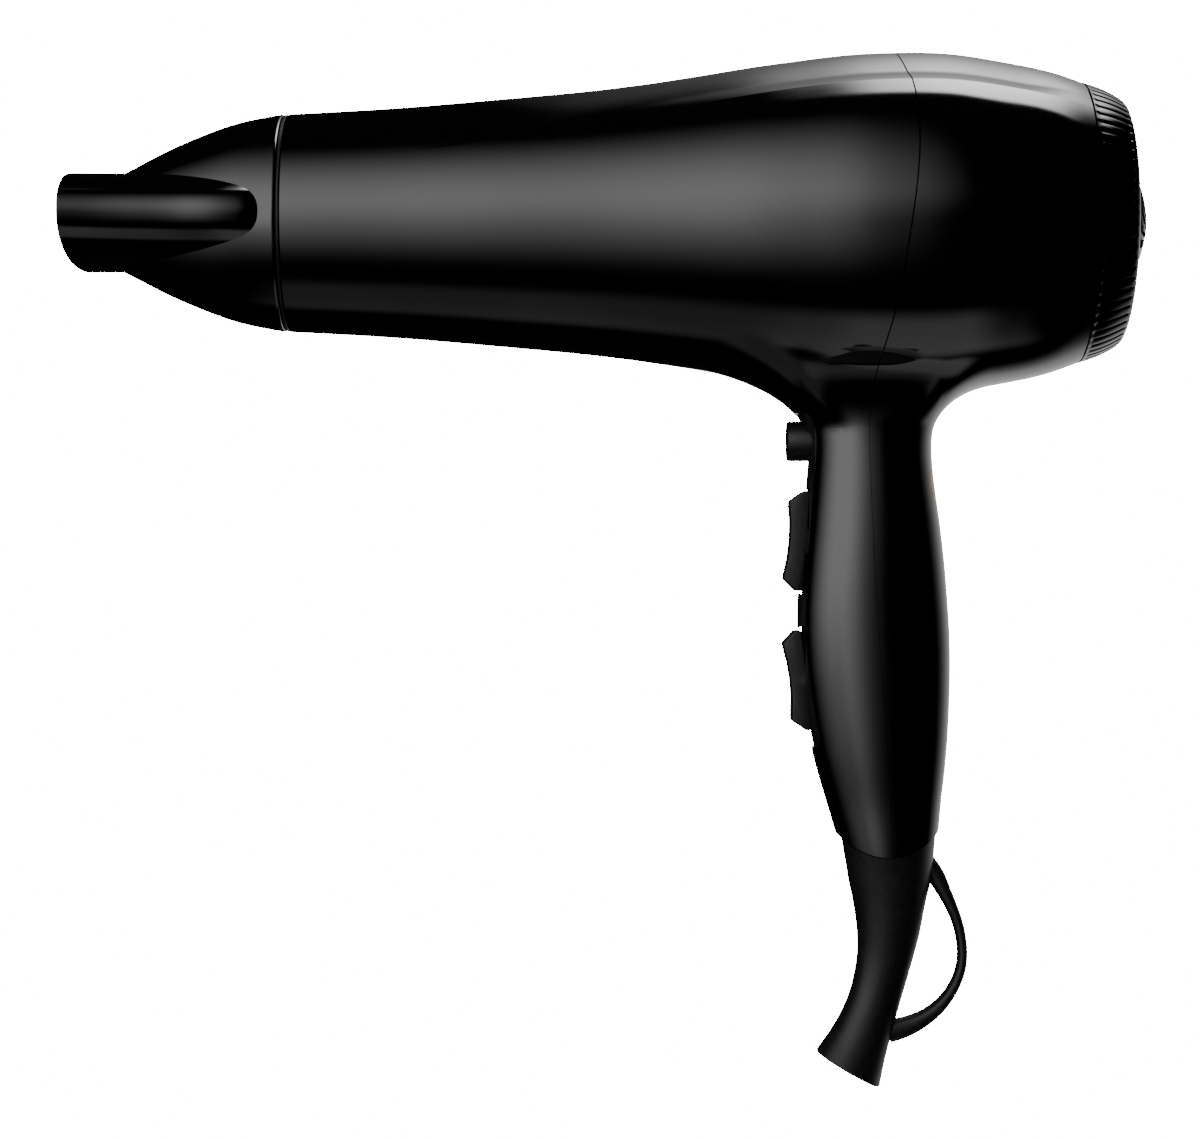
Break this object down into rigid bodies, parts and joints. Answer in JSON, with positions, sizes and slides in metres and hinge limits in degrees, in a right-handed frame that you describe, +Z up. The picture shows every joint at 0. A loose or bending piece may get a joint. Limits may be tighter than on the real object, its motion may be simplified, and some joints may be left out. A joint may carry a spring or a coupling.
{
  "type": "hair dryer",
  "caption": "Pistol-shaped hair dryer with a flat slot nozzle, tapered barrel, ribbed rear filter cover, front rocker switches, cool-shot button and a cord boot with hanging loop.",
  "frame": {"origin": "centre of the grip, in the middle of the handle between the two rocker switches", "axes": "+X along the barrel towards the air intake, +Y to one side, +Z up the handle towards the barrel"},
  "size_m": [0.2829, 0.09, 0.2736],
  "materials": {
    "gloss_black": "polished black moulding",
    "satin_black": "fine satin black moulding",
    "soft_rubber": "soft satin",
    "bright_metal": "bright",
    "steel": "drawn",
    "brass": "turned",
    "copper": "turned",
    "magnet": "sintered",
    "mica": "flaky board",
    "red_lens": "clear red moulding",
    "pale_plastic": "natural moulding",
    "circuit_board": "solder mask",
    "red_lead": "insulation",
    "blue_lead": "insulation"
  },
  "bodies": {
    "housing": {"front_shell": "gloss_black", "rear_shell": "gloss_black", "switch_panel": "satin_black", "outlet_grille": "satin_black", "fan_duct": "satin_black", "intake_guard": "satin_black", "cool_shot_switch": "satin_black", "ion_generator": "satin_black", "cord_clamp": "satin_black", "cord_boot": "soft_rubber", "duct_seal": "soft_rubber", "motor_can": "steel", "heating_coil_front": "steel", "heating_coil_rear": "steel", "ion_emitter": "steel", "handle_screw_upper": "steel", "handle_screw_lower": "steel", "cord_clamp_screw_left": "steel", "cord_clamp_screw_right": "steel", "cool_shot_spring": "steel", "motor_bearing_front": "brass", "motor_bearing_rear": "brass", "thermostat": "brass", "motor_magnet_left": "magnet", "motor_magnet_right": "magnet", "mica_tube": "mica", "mica_board_flat": "mica", "mica_board_upright": "mica", "ion_lens": "red_lens", "ion_led": "red_lens", "motor_end_cap": "pale_plastic", "speed_switch": "pale_plastic", "heat_switch": "pale_plastic", "capacitor": "pale_plastic", "thermal_fuse": "pale_plastic", "control_board": "circuit_board", "lead_live": "red_lead", "lead_heater": "red_lead", "lead_neutral": "blue_lead"},
    "nozzle_ring": {"nozzle_ring": "satin_black"},
    "nozzle": {"nozzle": "gloss_black"},
    "rear_cover": {"rear_cover": "gloss_black", "rear_grille": "gloss_black", "intake_mesh": "steel"},
    "rotor": {"motor_rotor": "steel", "commutator": "copper", "motor_shaft": "bright_metal", "fan": "satin_black", "fan_nut": "brass"},
    "speed_rocker": {"speed_rocker": "satin_black"},
    "heat_rocker": {"heat_rocker": "satin_black"},
    "cool_shot_button": {"cool_shot_button": "satin_black"}
  },
  "joints": [
    {"name": "nozzle_pull", "type": "slide", "parent": "housing", "child": "nozzle_ring", "axis": [-1, 0, 0], "range_m": [0, 0.03]},
    {"name": "nozzle_turn", "type": "hinge", "parent": "nozzle_ring", "child": "nozzle", "pos_m": [-0.158, 0, 0.1052], "axis": [1, 0, 0], "continuous": true},
    {"name": "rear_cover_pull", "type": "slide", "parent": "housing", "child": "rear_cover", "axis": [1, 0, 0], "range_m": [0, 0.03]},
    {"name": "rotor_spin", "type": "hinge", "parent": "housing", "child": "rotor", "pos_m": [0, 0, 0.1052], "axis": [1, 0, 0], "continuous": true},
    {"name": "speed_rocker_tilt", "type": "hinge", "parent": "housing", "child": "speed_rocker", "pos_m": [-0.01292, 0, 0.02047], "axis": [0, 1, 0], "range_deg": [-8, 8]},
    {"name": "heat_rocker_tilt", "type": "hinge", "parent": "housing", "child": "heat_rocker", "pos_m": [-0.01274, 0, -0.01519], "axis": [0, 1, 0], "range_deg": [-8, 8]},
    {"name": "cool_shot_press", "type": "slide", "parent": "housing", "child": "cool_shot_button", "axis": [1, 0, 0], "range_m": [0, 0.002], "stiffness_N_per_m": 300, "springref_m": -0.002, "deforming": ["cool_shot_spring"]}
  ]
}
